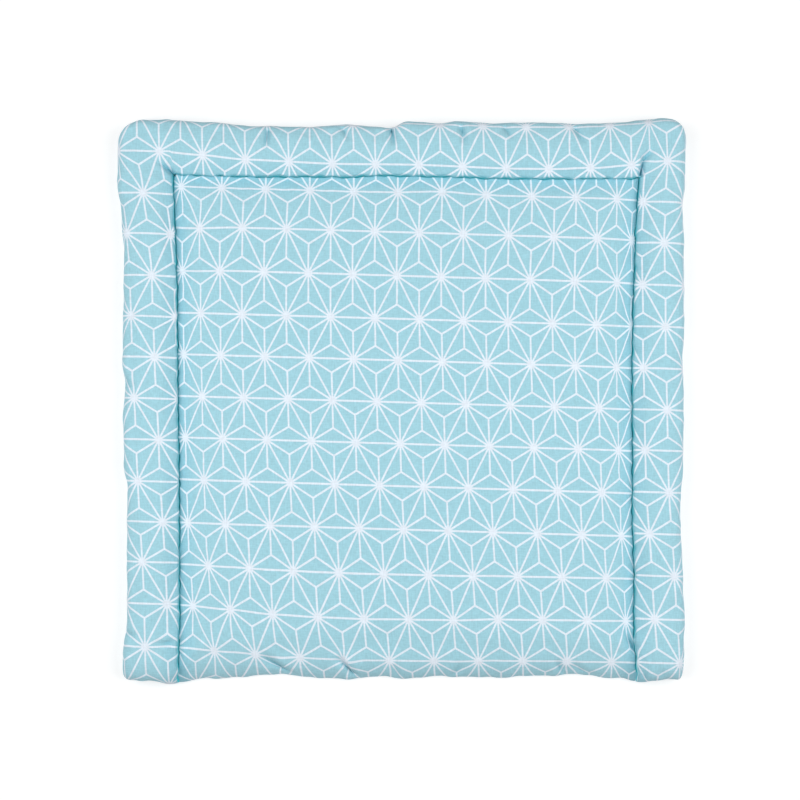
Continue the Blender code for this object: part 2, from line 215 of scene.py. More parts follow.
frontEdge = [
    {"at": -0.388, "drawnIn": 0.0080},
    {"at": -0.342, "drawnIn": 0.0054},
    {"at": -0.304, "drawnIn": 0.0014},
    {"at": -0.266, "drawnIn": 0.0068},
    {"at": -0.220, "drawnIn": 0.0082},
    {"at": -0.179, "drawnIn": 0.0128},
    {"at": -0.114, "drawnIn": 0.0080},
    {"at": -0.081, "drawnIn": 0.0052},
    {"at": -0.038, "drawnIn": 0.0096},
    {"at": -0.002, "drawnIn": 0.0068},
    {"at": 0.052, "drawnIn": 0.0096},
    {"at": 0.120, "drawnIn": 0.0080},
    {"at": 0.180, "drawnIn": 0.0102},
    {"at": 0.234, "drawnIn": 0.0122},
    {"at": 0.289, "drawnIn": 0.0068},
    {"at": 0.314, "drawnIn": 0.0032},
    {"at": 0.343, "drawnIn": 0.0068},
    {"at": 0.388, "drawnIn": 0.0080},
]

# creases and tucks pressed into the top cloth, each deepest where it starts
folds = [
    # the channels run on as creases towards the head corners
    {"start": (-0.3110, 0.3080), "end": (-0.3330, 0.3260), "width": 0.006, "depth": 0.010, "pull": 0.2},
    {"start": (0.3240, 0.3060), "end": (0.3280, 0.3280), "width": 0.006, "depth": 0.011, "pull": 0.2},
    {"start": (0.3275, 0.3250), "end": (0.3420, 0.3410), "width": 0.008, "depth": 0.009, "pull": 0.3},
    # tucks at the head rim
    {"start": (-0.0146, 0.3690), "end": (-0.0092, 0.3430), "width": 0.012, "depth": 0.0110},
    {"start": (0.0806, 0.3690), "end": (0.0887, 0.3430), "width": 0.010, "depth": 0.0080},
    {"start": (0.2356, 0.3680), "end": (0.2490, 0.3450), "width": 0.011, "depth": 0.0075},
    {"start": (-0.1819, 0.3640), "end": (-0.1846, 0.3400), "width": 0.010, "depth": 0.0090},
    {"start": (0.1404, 0.3690), "end": (0.1510, 0.3520), "width": 0.009, "depth": 0.0065},
    {"start": (-0.0799, 0.3670), "end": (-0.0704, 0.3500), "width": 0.009, "depth": 0.0065},
    # tucks where the pad rolls over at the foot
    {"start": (-0.1600, -0.3620), "end": (-0.1925, -0.3435), "width": 0.013, "depth": 0.0095},
    {"start": (-0.1600, -0.3620), "end": (-0.1420, -0.3760), "width": 0.011, "depth": 0.0095},
    {"start": (-0.0700, -0.3640), "end": (-0.0890, -0.3450), "width": 0.013, "depth": 0.0110},
    {"start": (-0.0700, -0.3640), "end": (-0.0540, -0.3810), "width": 0.012, "depth": 0.0110},
    {"start": (-0.0024, -0.3760), "end": (-0.0133, -0.3560), "width": 0.011, "depth": 0.0050},
    {"start": (0.0700, -0.3740), "end": (0.0815, -0.3540), "width": 0.011, "depth": 0.0060},
    {"start": (0.2170, -0.3700), "end": (0.2090, -0.3480), "width": 0.012, "depth": 0.0085},
    {"start": (0.2510, -0.3720), "end": (0.2290, -0.3550), "width": 0.010, "depth": 0.0060},
    {"start": (0.3281, -0.3800), "end": (0.3250, -0.3640), "width": 0.009, "depth": 0.0080},
    {"start": (0.3540, -0.3780), "end": (0.3490, -0.3610), "width": 0.011, "depth": 0.0050},
    # creases beside the side channels
    {"start": (0.3120, -0.3340), "end": (0.2985, -0.3070), "width": 0.010, "depth": 0.0065},
    {"start": (-0.3110, -0.3260), "end": (-0.3330, -0.3285), "width": 0.010, "depth": 0.0055},
    # tucks and a slack place in the left side
    {"start": (-0.3800, 0.0360), "end": (-0.3630, 0.0140), "width": 0.013, "depth": 0.0085},
    {"start": (-0.3700, -0.3130), "end": (-0.3540, -0.3190), "width": 0.011, "depth": 0.0050},
    {"start": (-0.3350, 0.1000), "end": (-0.3430, 0.1400), "width": 0.014, "depth": 0.0020},
]


def stations(low, high, rollLow, channels):
    # places that the cloth is bent at, closest together at the rims and at the channels
    fromRim = mat["sideRoll"] * (1 - np.cos(np.radians(mat["rimAngles"])))
    steps = np.array(mat["channelSteps"])
    places = [*(low + fromRim)]
    edge = low + mat["sideRoll"]
    if rollLow > mat["sideRoll"]:
        count = round((rollLow - mat["sideRoll"]) / mat["bolsterStep"])
        places += [*np.linspace(edge, low + rollLow, count + 1)[:-1]]
        edge = low + rollLow
    for channel in channels + [None]:
        stop = high - mat["sideRoll"] if channel is None else channel - steps[-1]
        step = mat["padStep"] if stop - edge > mat["width"] / 3 else mat["bolsterStep"]
        count = max(round((stop - edge) / step), 1)
        places += [*np.linspace(edge, stop, count + 1)]
        if channel is not None:
            places += [*(channel - steps[-2::-1]), channel, *(channel + steps[:-1])]
            edge = channel + steps[-1]
    return np.array(places + [*(high - fromRim[::-1])])


def bolsterEnd(x):
    # 1 in a side bolster, 0 on the pad
    fade = mat["bolsterFade"]
    return np.maximum(softStep(leftChannel - x, *fade), softStep(x - rightChannel, *fade))


def awayFromChannels(x, y):
    # distance from the line that the three channels make round the pad
    outside = np.maximum(np.maximum(leftChannel - x, x - rightChannel), 0)
    onPad = np.minimum(np.minimum(x - leftChannel, rightChannel - x), headChannel - y)
    return np.where(onPad > 0, onPad, np.hypot(outside, np.maximum(y - headChannel, 0)))


def topHeight(x, y):
    # the top cloth away from the rims: it rises steeply beside a channel, and then slopes on up
    wall, slope = 1, 1
    for away in (x - leftChannel, rightChannel - x, headChannel - y):
        wall = wall * rolled(away, mat["wall"], mat["wallBulge"])
        slope = slope * rolled(away, mat["padShoulder"], mat["padBulge"])
    shoulders = mat["padWallShare"] * wall + (1 - mat["padWallShare"]) * slope
    crown = np.cos(math.pi * x / mat["width"]) * np.cos(math.pi * y / mat["length"])
    pad = (mat["padHeight"] + mat["padCrown"] * crown - mat["channelTop"]) * shoulders
    away = awayFromChannels(x, y)
    wall = rolled(away, mat["wall"], mat["wallBulge"])
    slope = rolled(away, mat["bolsterShoulder"], mat["bolsterBulge"])
    bolster = mat["bolsterWallShare"] * wall + (1 - mat["bolsterWallShare"]) * slope
    bolster = (mat["bolsterHeight"] - mat["channelTop"]) * bolster
    onPad = (x > leftChannel) & (x < rightChannel) & (y < headChannel)
    return mat["channelTop"] + np.where(onPad, pad, bolster)


def underHeight(x, y):
    # the under cloth lies flat but for the channels
    return mat["channelUnder"] * (1 - rolled(awayFromChannels(x, y), mat["underShoulder"], mat["underBulge"]))


def foldAt(x, y):
    # how deep the folds press the cloth there, and how far they pull it sideways towards them
    depth, pulledX, pulledY = np.zeros_like(x), np.zeros_like(x), np.zeros_like(x)
    for fold in folds:
        start, end = np.array(fold["start"]), np.array(fold["end"])
        run = end - start
        share = np.clip(((x - start[0]) * run[0] + (y - start[1]) * run[1]) / (run @ run), 0, 1)
        awayX, awayY = x - start[0] - share * run[0], y - start[1] - share * run[1]
        away = np.hypot(awayX, awayY)
        width, spread = fold["width"], mat["foldSpread"] * fold["width"]
        deepest = fold["depth"] * (1 - share ** 2)
        pressed = 1 - rolled(away, width, mat["foldBulge"])
        # what is pressed down in the fold stands up a little as a lip on both sides of it
        lip = softStep(away, mat["lipFrom"] * width, width) - softStep(away, width, spread)
        pressed = deepest * (pressed - mat["foldLip"] * lip)
        depth = np.where(abs(pressed) > abs(depth), pressed, depth)
        pull = fold.get("pull", 1) * mat["foldPull"] * deepest * softStep(away, 0, mat["pullMost"] * width)
        pull *= (1 - softStep(away, mat["pullMost"] * width, spread)) / np.maximum(away, 1e-6)
        pulledX -= awayX * pull
        pulledY -= awayY * pull
    return depth, pulledX, pulledY


def roundedCorners(x, y):
    # draws the corners of the square of cloth in to round ones
    head = np.where(x < 0, mat["headLeftCorner"], mat["headRightCorner"])
    radius = np.where(y > 0, head, mat["frontCorner"])
    across = np.clip((radius - (halfWidth - abs(x))) / radius, 0, 1)
    along = np.clip((radius - (halfLength - abs(y))) / radius, 0, 1)
    lessAcross = radius * across * (1 - np.sqrt(1 - along ** 2 / 2))
    lessAlong = radius * along * (1 - np.sqrt(1 - across ** 2 / 2))
    return x - np.sign(x) * lessAcross, y - np.sign(y) * lessAlong


def uneven(waves, along, phase):
    return sum(amount * np.sin(2 * math.pi * along / length + turn + phase) for length, amount, turn in waves)


def drawnIn(x, y):
    # moves a place on the even mat to where the uneven rims and channels put it
    leftShare = np.clip((leftChannel - x) / (leftChannel + halfWidth), 0, 1)
    rightShare = np.clip((x - rightChannel) / (halfWidth - rightChannel), 0, 1)
    across = np.clip((x - leftChannel) / (rightChannel - leftChannel), 0, 1)
    leftWaves, rightWaves, headWaves = [
        mat["sideWaves"] * uneven(mat["rimWaves"], along, phase) for along, phase in ((y, 0), (y, 1), (x, 2))]
    shiftX = leftShare ** 2 * (readTable(leftEdge, "drawnIn", y) + leftWaves)
    shiftX = shiftX - rightShare ** 2 * (readTable(rightEdge, "drawnIn", y) + rightWaves)
    shiftX += (1 - leftShare) * (1 - across) * readTable(leftEdge, "channel", y)
    shiftX += (1 - rightShare) * across * readTable(rightEdge, "channel", y)
    headShare = np.clip((y - headChannel) / (halfLength - headChannel), 0, 1)
    footShare = np.clip((headChannel - y) / (headChannel + halfLength), 0, 1)
    shiftY = -headShare ** 2 * (readTable(headEdge, "drawnIn", x) + headWaves)
    shiftY += (1 - headShare) * (1 - footShare) ** 4 * readTable(headEdge, "channel", x)
    shiftY += softStep(-y, halfLength - mat["footDrawnFrom"], halfLength) * readTable(frontEdge, "drawnIn", x)
    shiftY += softStep(-y, halfLength - mat["footWavesFrom"], halfLength) * uneven(mat["rimWaves"], x, 3)
    return x + shiftX, y + shiftY


def leanOver(away, along, phase):
    # how far the cloth leans over a channel, at a distance from it: less than 0 is on the pad
    lean = np.where(away > 0, mat["bolsterLean"], -mat["padLean"])
    lean = lean * (1 + uneven(mat["unevenLean"], along, phase))
    away = abs(away)
    return lean * softStep(away, 0, mat["leanFrom"]) * (1 - softStep(away, mat["leanFrom"], mat["leanReach"]))


def panelPoints(x, y, isTop):
    # where the points of the top or the under cloth lie
    sideRoll = mat["sideRoll"] if isTop else mat["underRoll"]
    frontRoll = mat["frontRoll"] if isTop else mat["underRoll"]
    extraBulge = (mat["frontBolsterBulge"] - mat["frontPadBulge"]) * bolsterEnd(x)
    frontBulge = mat["frontPadBulge"] + extraBulge if isTop else mat["sideBulge"]
    sides = rolled(halfWidth - abs(x), sideRoll, mat["sideBulge"])
    head = rolled(halfLength - y, sideRoll, mat["sideBulge"])
    front = rolled(halfLength + y, frontRoll, frontBulge)
    share = sides * head * front
    rim = mat["frontRimHeight"] + (mat["rimHeight"] - mat["frontRimHeight"]) * bolsterEnd(x)
    rim = rim + (mat["rimHeight"] - rim) * softStep(y + halfLength, 0, mat["frontRimReach"])
    px, py = drawnIn(*roundedCorners(x, y))
    if isTop:
        pz = rim + (topHeight(x, y) - rim) * share
        for channel, sign in ((leftChannel, -1), (rightChannel, 1)):
            below = 1 - softStep(y, headChannel - mat["channelEnd"], headChannel + mat["channelEnd"])
            px = px - sign * leanOver((x - channel) * sign, y, sign) * below
            wobbles = (1 - softStep(abs(x - channel), *mat["wobbleFade"])) * below
            px = px + uneven(mat["wobble"], y, sign) * wobbles
        # the head channel closes up towards its ends
        closed = 1 + mat["headCloses"] * softStep(abs(x), *mat["headClosesFrom"])
        py = py - leanOver(y - headChannel, x, 4) * closed * (1 - bolsterEnd(x))
        wobbles = (1 - softStep(abs(y - headChannel), *mat["wobbleFade"])) * (1 - bolsterEnd(x))
        py = py + uneven(mat["wobble"], x, 3) * wobbles
    else:
        pz = rim + (underHeight(x, y) - rim) * share
    # the seam pulls the cloth in all round the rim
    pull = mat["rimSeamDepth"] * np.exp(-((pz - rim) / mat["rimSeamWidth"]) ** 2)
    px = px - np.sign(x) * pull * (1 - sides)
    py = py - np.sign(y) * pull * (1 - np.minimum(head, front))
    return np.stack([px, py, pz], axis=-1)


def runningLength(points, axis):
    # length of cloth from the first row or column of points, along the cloth
    steps = np.linalg.norm(np.diff(points, axis=axis), axis=-1)
    return np.concatenate([np.zeros_like(np.take(steps, [0], axis)), np.cumsum(steps, axis)], axis)


# how far the print has moved from an even lattice: each channel takes up cloth, more in some places
padCloth = [
    {"at": -0.385, "movedX": 0.0060, "movedY": 0.0000},
    {"at": -0.350, "movedX": 0.0050, "movedY": 0.0004},
    {"at": -0.295, "movedX": 0.0027, "movedY": 0.0004},
    {"at": -0.235, "movedX": 0.0008, "movedY": 0.0006},
    {"at": -0.170, "movedX": -0.0007, "movedY": 0.0012},
    {"at": -0.100, "movedX": -0.0018, "movedY": 0.0021},
    {"at": 0.050, "movedX": -0.0016, "movedY": -0.0008},
    {"at": 0.110, "movedX": -0.0010, "movedY": -0.0020},
    {"at": 0.170, "movedX": 0.0004, "movedY": -0.0008},
    {"at": 0.228, "movedX": 0.0022, "movedY": 0.0012},
    {"at": 0.280, "movedX": 0.0052, "movedY": -0.0015},
    {"at": 0.335, "movedX": 0.0068, "movedY": -0.0030},
]
leftCloth = [
    {"at": -0.385, "movedX": 0.0376, "movedY": 0.0050},
    {"at": -0.278, "movedX": 0.0384, "movedY": 0.0058},
    {"at": -0.060, "movedX": 0.0330, "movedY": -0.0040},
    {"at": 0.055, "movedX": 0.0303, "movedY": -0.0075},
    {"at": 0.166, "movedX": 0.0295, "movedY": -0.0120},
    {"at": 0.229, "movedX": 0.0255, "movedY": -0.0125},
    {"at": 0.281, "movedX": 0.0205, "movedY": -0.0148},
    {"at": 0.338, "movedX": 0.0136, "movedY": -0.0148},
]
rightCloth = [
    {"at": -0.385, "movedX": -0.0250, "movedY": 0.0060},
    {"at": -0.240, "movedX": -0.0290, "movedY": 0.0078},
    {"at": -0.120, "movedX": -0.0325, "movedY": 0.0050},
    {"at": 0.043, "movedX": -0.0303, "movedY": -0.0005},
    {"at": 0.156, "movedX": -0.0275, "movedY": -0.0026},
    {"at": 0.213, "movedX": -0.0265, "movedY": -0.0028},
    {"at": 0.270, "movedX": -0.0225, "movedY": -0.0046},
    {"at": 0.325, "movedX": -0.0180, "movedY": -0.0063},
]
headCloth = [
    {"at": -0.330, "movedX": 0.0136, "movedY": -0.0148},
    {"at": -0.270, "movedX": 0.0124, "movedY": -0.0180},
    {"at": -0.213, "movedX": 0.0103, "movedY": -0.0220},
    {"at": -0.095, "movedX": 0.0080, "movedY": -0.0240},
    {"at": 0.023, "movedX": 0.0053, "movedY": -0.0220},
    {"at": 0.143, "movedX": 0.0037, "movedY": -0.0232},
    {"at": 0.200, "movedX": 0.0015, "movedY": -0.0222},
    {"at": 0.258, "movedX": -0.0020, "movedY": -0.0188},
    {"at": 0.313, "movedX": -0.0065, "movedY": -0.0135},
    {"at": 0.362, "movedX": -0.0180, "movedY": -0.0063},
]
footCloth = [
    {"at": -0.290, "movedY": 0.0045},
    {"at": -0.230, "movedY": 0.0010},
    {"at": -0.175, "movedY": -0.0035},
    {"at": -0.110, "movedY": -0.0055},
    {"at": -0.050, "movedY": -0.0062},
    {"at": 0.010, "movedY": -0.0050},
    {"at": 0.070, "movedY": -0.0042},
    {"at": 0.130, "movedY": -0.0012},
    {"at": 0.250, "movedY": 0.0006},
    {"at": 0.310, "movedY": 0.0016},
]
# places where the cloth lies a little to one side: centre, how far round it, and how much
slackPlaces = [
    {"at": (-0.300, 0.290), "reach": 0.045, "moved": (-0.0042, 0.0004)},
    {"at": (-0.285, 0.210), "reach": 0.070, "moved": (-0.0020, -0.0032)},
    {"at": (0.055, 0.295), "reach": 0.075, "moved": (0.0000, 0.0034)},
    {"at": (0.205, 0.240), "reach": 0.120, "moved": (0.0034, 0.0000)},
    {"at": (0.285, 0.170), "reach": 0.070, "moved": (0.0022, 0.0006)},
    {"at": (-0.275, -0.260), "reach": 0.070, "moved": (0.0034, 0.0000)},
    {"at": (-0.255, -0.345), "reach": 0.055, "moved": (0.0036, -0.0004)},
    {"at": (-0.150, -0.280), "reach": 0.100, "moved": (-0.0034, 0.0000)},
    {"at": (0.320, -0.345), "reach": 0.060, "moved": (0.0030, 0.0010)},
]
eased = {
    # the pad's cloth is eased in towards each channel: how much, and from how far
    "left": 0.0122, "leftReach": 0.070, "right": 0.0138, "rightReach": 0.046,
    "head": 0.0030, "headReach": 0.030,
    # where the foot's own table comes in
    "footFrom": 0.170, "footTo": 0.300,
    # the bottom of a channel, where the cloth on both sides is made to meet, and more past its end
    "hidden": 0.0035, "runOn": 0.030,
    # how soon the side bolsters' cloth becomes the head bolster's
    "headJoin": 0.035,
}


def easedIn(distance, amount, reach):
    return amount * np.clip(1 - distance / reach, 0, 1) ** 2


def clothPlaces(points, columns, rows):
    # where each point lies on the flat cut cloth
    px, py = points[..., 0], points[..., 1]
    x, y = np.meshgrid(columns, rows)
    left, right = np.searchsorted(columns, leftChannel), np.searchsorted(columns, rightChannel)
    head = np.searchsorted(rows, headChannel)
    across, along = runningLength(points[..., [0, 2]], 1), runningLength(points[..., [1, 2]], 0)

    # the pad
    padU = px - readTable(padCloth, "movedX", py)
    padU -= easedIn(px - px[:, [left]], eased["left"], eased["leftReach"])
    padU += easedIn(px[:, [right]] - px, eased["right"], eased["rightReach"])
    low = np.argmin(abs(rows))
    foot = softStep(-py, eased["footFrom"], eased["footTo"])
    padV = py[[low]] + along - along[[low]]
    padV -= readTable(padCloth, "movedY", py) + foot * readTable(footCloth, "movedY", px)
    padV += easedIn(py[[head]] - py, eased["head"], eased["headReach"])
    for slack in slackPlaces:
        share = 1 - softStep(np.hypot(px - slack["at"][0], py - slack["at"][1]), 0, slack["reach"])
        padU -= slack["moved"][0] * share
        padV -= slack["moved"][1] * share

    # the bolsters, from the middle of their flat tops
    sides = []
    for table, crown in ((leftCloth, leftChannel - mat["bolsterCrest"]),
                         (rightCloth, rightChannel + mat["bolsterCrest"])):
        crest = np.argmin(abs(columns - crown))
        sideU = px[:, [crest]] + across - across[:, [crest]] - readTable(table, "movedX", py)
        sideV = py[[low]] + along - along[[low]] - readTable(table, "movedY", py)
        sides.append((sideU, sideV))
    crest = np.argmin(abs(rows - headChannel - mat["bolsterCrest"]))
    middle = np.argmin(abs(columns))
    headU = px[:, [middle]] + across - across[:, [middle]] - readTable(headCloth, "movedX", px)
    headV = py[[crest]] + along - along[[crest]] - readTable(headCloth, "movedY", px)

    # joined, with what is left over taken up in the walls of the channels
    headShare = softStep(y, headChannel, headChannel + eased["headJoin"])
    u, v = padU.copy(), padV.copy()
    above = rows > headChannel
    u[above] = headU[above]
    gone = np.clip((y[above] - headChannel) / eased["hidden"], 0, 1)
    u[above] += (padU[[head]] - headU[[head]]) * (1 - gone) ** 2
    v[above] = headV[above]
    v[above] += (padV[[head]] - headV[[head]]) * (1 - gone) ** 2
    for (sideU, sideV), channel, sign in zip(sides, (left, right), (-1, 1)):
        outside = (columns - columns[channel]) * sign > 0
        # the channel ends at the head bolster, where the cloth runs on more evenly
        past = softStep(y[:, outside], headChannel, headChannel + eased["runOn"])
        reach = eased["hidden"] + eased["runOn"] * past
        gone = np.clip((x[:, outside] - columns[channel]) * sign / reach, 0, 1)
        beside = sideU[:, outside] + (u[:, [channel]] - sideU[:, [channel]]) * (1 - gone) ** 2
        share = headShare[:, outside]
        u[:, outside] = beside * (1 - share) + u[:, outside] * share
        beside = sideV[:, outside] + (v[:, [channel]] - sideV[:, [channel]]) * (1 - gone) ** 2
        v[:, outside] = beside * (1 - share) + v[:, outside] * share
    return np.stack([u, v], axis=-1)


def clothGrid():
    columns = stations(-halfWidth, halfWidth, mat["sideRoll"], [leftChannel, rightChannel])
    rows = stations(-halfLength, halfLength, mat["frontRoll"], [headChannel])
    return columns, rows


def gridQuads(number):
    # faces round a grid of point numbers
    return np.stack([number[:-1, :-1], number[:-1, 1:], number[1:, 1:], number[1:, :-1]], -1).reshape(-1, 4)


def fromChannels(x, y):
    # distance from the nearest channel, measured square to it
    sides = np.where(y <= headChannel, np.minimum(abs(x - leftChannel), abs(x - rightChannel)), 1)
    return np.minimum(sides, np.where(bolsterEnd(x) < 0.5, abs(y - headChannel), 1))


def sewPanels():
    # both panels as one closed mesh, sharing the points of the rim seam
    columns, rows = clothGrid()
    x, y = np.meshgrid(columns, rows)
    top, under = panelPoints(x, y, True), panelPoints(x, y, False)
    topCloth = clothPlaces(top, columns, rows)
    underCloth = clothPlaces(under, columns, rows) + mat["backPanelFrom"]
    count = x.size
    rowCount, columnCount = x.shape
    number = np.arange(count).reshape(x.shape)
    inside = np.zeros(x.shape, bool)
    inside[1:-1, 1:-1] = True
    underNumber = number.copy()
    underNumber[inside] = count + np.arange(inside.sum())
    points = np.concatenate([top.reshape(-1, 3), under[inside]])
    faces = np.concatenate([gridQuads(number), gridQuads(underNumber)[:, (0, 3, 2, 1)]])
    mesh = bpy.data.meshes.new("paddedMat")
    mesh.from_pydata(points.tolist(), [], faces.tolist())
    corner = ((0, 0), (0, 1), (1, 1), (1, 0))
    underCorner = ((0, 0), (1, 0), (1, 1), (0, 1))
    uv = []
    for cloth, corners in ((topCloth, corner), (underCloth, underCorner)):
        parts = [cloth[r:r + rowCount - 1, c:c + columnCount - 1] for r, c in corners]
        uv.append(np.stack(parts, axis=2).reshape(-1, 2))
    layer = mesh.uv_layers.new(name="clothPlace")
    layer.data.foreach_set("uv", np.concatenate(uv).astype(np.float32).ravel())
    # how deep in a channel each point of the cloth lies, for the painted light there
    channelLightShare = np.clip(1 - fromChannels(x, y) / mat["creaseReach"], 0, 1)
    # how much painted shade the cloth on both sides of a channel gets, more so on the lower pad
    shaded = 1 - softStep(awayFromChannels(x, y), mat["shadeFrom"], mat["shadeTo"])
    onBolster = np.maximum(bolsterEnd(x), softStep(y - headChannel, 0, mat["lessShadeFrom"]))
    shaded = shaded * (1 - mat["bolsterLessShade"] * onBolster)
    # how free each point of the top cloth is of the rim, for the folds
    free = np.minimum(np.minimum(halfWidth - abs(x), halfLength - y), mat["footFree"] * (halfLength + y))
    free = softStep(free, 0, mat["sideRoll"] / 2)
    for name, values in (("channelDepth", channelLightShare), ("channelShade", shaded), ("topCloth", free)):
        values = np.concatenate([values.ravel(), np.zeros(inside.sum())])
        mesh.attributes.new(name, "FLOAT", "POINT").data.foreach_set("value", values.astype(np.float32))
    piece = bpy.data.objects.new("paddedMat", mesh)
    bpy.context.scene.collection.objects.link(piece)
    return piece


def centreOnCad(piece):
    low = np.array([min(v.co[k] for v in piece.data.vertices) for k in range(3)])
    high = np.array([max(v.co[k] for v in piece.data.vertices) for k in range(3)])
    middle = Vector((*((low + high) / 2)[:2], low[2]))
    cadMiddle = Vector((*((cadLow + cadHigh) / 2)[:2], cadLow.z))
    for vertex in piece.data.vertices:
        vertex.co += cadMiddle - middle


# The wadding presses the top cloth out between its seams, where the cloth is gathered a little

filling = {
    "frames": 20, "pressure": 2.0, "mostMoved": 0.004,
    # cloth to spare beside the seams, as a share of its length, and how far from them it reaches
    "spareCloth": 0.03, "gatheredReach": 0.040, "sewnReach": 0.0025,
    # the walls of the channels and the roll at the foot keep their form: from here to here it fades in
    "fullFrom": (0.005, 0.018), "footFrom": (0.010, 0.060),
    "stretchStiffness": 15.0, "bendStiffness": 0.05, "clothWeight": 0.15,
    # small unevenness of the wadding, which the puckers start from
    "lumpSize": 0.016, "lumpHeight": 0.0003,
}


def fillCloth(piece):
    columns, rows = clothGrid()
    x, y = np.meshgrid(columns, rows)
    fromSeams = np.minimum(np.minimum(halfWidth - abs(x), halfLength - abs(y)), fromChannels(x, y)).ravel()
    start = np.empty(len(piece.data.vertices) * 3)
    piece.data.vertices.foreach_get("co", start)
    start = start.reshape(-1, 3)[:x.size]
    loose = softStep(fromSeams, filling["sewnReach"], 3 * filling["sewnReach"])
    lumps = np.array([noise.noise(Vector(point) / filling["lumpSize"]) for point in start])
    bag = bpy.data.meshes.new("bag")
    raised = start + np.outer(lumps * loose * filling["lumpHeight"], (0, 0, 1))
    bag.from_pydata(raised.tolist(), [], gridQuads(np.arange(x.size).reshape(x.shape)).tolist())
    bag = bpy.data.objects.new("bag", bag)
    bpy.context.scene.collection.objects.link(bag)
    sewn, taut = bag.vertex_groups.new(name="sewn"), bag.vertex_groups.new(name="taut")
    sewn.add(np.flatnonzero(fromSeams < filling["sewnReach"]).tolist(), 1.0, "REPLACE")
    for k, share in enumerate(softStep(fromSeams, 0, filling["gatheredReach"])):
        taut.add([k], share, "REPLACE")
    cloth = bag.modifiers.new("filling", "CLOTH")
    settings = cloth.settings
    settings.vertex_group_mass = sewn.name
    settings.vertex_group_shrink = taut.name
    settings.shrink_min, settings.shrink_max = -filling["spareCloth"], 0.0
    settings.use_pressure = True
    settings.uniform_pressure_force = filling["pressure"]
    settings.effector_weights.gravity = 0.0
    settings.mass = filling["clothWeight"]
    settings.tension_stiffness = settings.compression_stiffness = filling["stretchStiffness"]
    settings.bending_stiffness = filling["bendStiffness"]
    cloth.collision_settings.use_collision = False
    cloth.point_cache.frame_start, cloth.point_cache.frame_end = 1, filling["frames"]
    for step in range(1, filling["frames"] + 1):
        bpy.context.scene.frame_set(step)
    filled = bag.evaluated_get(bpy.context.evaluated_depsgraph_get())
    ended = np.empty(x.size * 3)
    filled.data.vertices.foreach_get("co", ended)
    # only in or out, because the print stays where the cloth was laid
    outwards = np.empty(x.size * 3)
    bag.data.vertex_normals.foreach_get("vector", outwards)
    outwards = outwards.reshape(-1, 3)
    moved = ((ended.reshape(-1, 3) - start) * outwards).sum(axis=1)
    moved = filling["mostMoved"] * np.tanh(moved / filling["mostMoved"])
    moved *= softStep(fromSeams, *filling["fullFrom"])
    moved *= softStep(y.ravel() + halfLength, *filling["footFrom"])
    print("cloth filled: moved %.1f to %.1f mm" % (moved.min() * 1000, moved.max() * 1000))
    for vertex, shift, way in zip(piece.data.vertices, moved, outwards):
        vertex.co += Vector(way * shift)
    bpy.context.scene.frame_set(1)
    bagMesh = bag.data
    bpy.data.objects.remove(bag)
    bpy.data.meshes.remove(bagMesh)


def smoothOver(piece):
    makeActive(piece)
    finer = piece.modifiers.new("finer", "SUBSURF")
    finer.levels = finer.render_levels = 1
    bpy.ops.object.modifier_apply(modifier=finer.name)
    bpy.ops.object.shade_smooth()


def pressFolds(piece):
    points, free = np.empty(len(piece.data.vertices) * 3), np.empty(len(piece.data.vertices))
    piece.data.vertices.foreach_get("co", points)
    piece.data.attributes["topCloth"].data.foreach_get("value", free)
    points = points.reshape(-1, 3)
    depth, pulledX, pulledY = foldAt(points[:, 0], points[:, 1])
    depth *= free
    points += np.stack([pulledX * free, pulledY * free, -depth], axis=1)
    piece.data.vertices.foreach_set("co", points.ravel())
    piece.data.attributes.remove(piece.data.attributes["topCloth"])
    # painted shade: the folds' colour darkens with their depth
    creased = np.clip(depth / mat["deepCrease"], 0, 1) ** mat["creaseFade"]
    creases = piece.data.attributes.new("creased", "FLOAT", "POINT")
    creases.data.foreach_set("value", creased.astype(np.float32))
    piece.data.update()


paddedMat = sewPanels()
fillCloth(paddedMat)
smoothOver(paddedMat)
pressFolds(paddedMat)
centreOnCad(paddedMat)
print("mat sewn:", len(paddedMat.data.polygons), "faces")


# Printed cotton: a plain weave, matt, with the print sunk into the threads rather than lying on them.
# It gives flat clear colour with hardly any shine, and a soft edge to each printed line.

cotton = {
    "ground": "#a0d0dd", "line": "#e1ebf5",
    # painted light: down in a channel light only comes through the cloth, so a bright tint is painted there;
    # beside a channel and in the folds, painted shade
    "paintedThroughLight": "#00d0da", "paintedShadeBesideChannel": "#90c6d6", "creased": "#48a2b6",
    # the printed lattice, in metres of cloth: the step along a row, and from a row to the next
    "origin": (-0.0036, 0.0537), "alongRow": (0.0599, -0.0018), "nextRow": (0.0017, -0.0574),
    "lineWidth": 0.0024, "lineEdge": 0.0006,
    # real threads lie about 0.4 mm apart, drawn three times as coarse so that they show
    "threadPitch": 0.0012, "threadHeight": 0.00012, "threadRelief": 0.6,
    # thicker and thinner threads: a streak about 8 mm long and 2 mm wide, lighter or darker by up to this
    "slubLength": 0.008, "slubWidth": 0.0020, "slubShade": 0.10,
    "roughness": 0.85, "shine": 0.3, "sheen": 0.12, "sheenRoughness": 0.5,
}


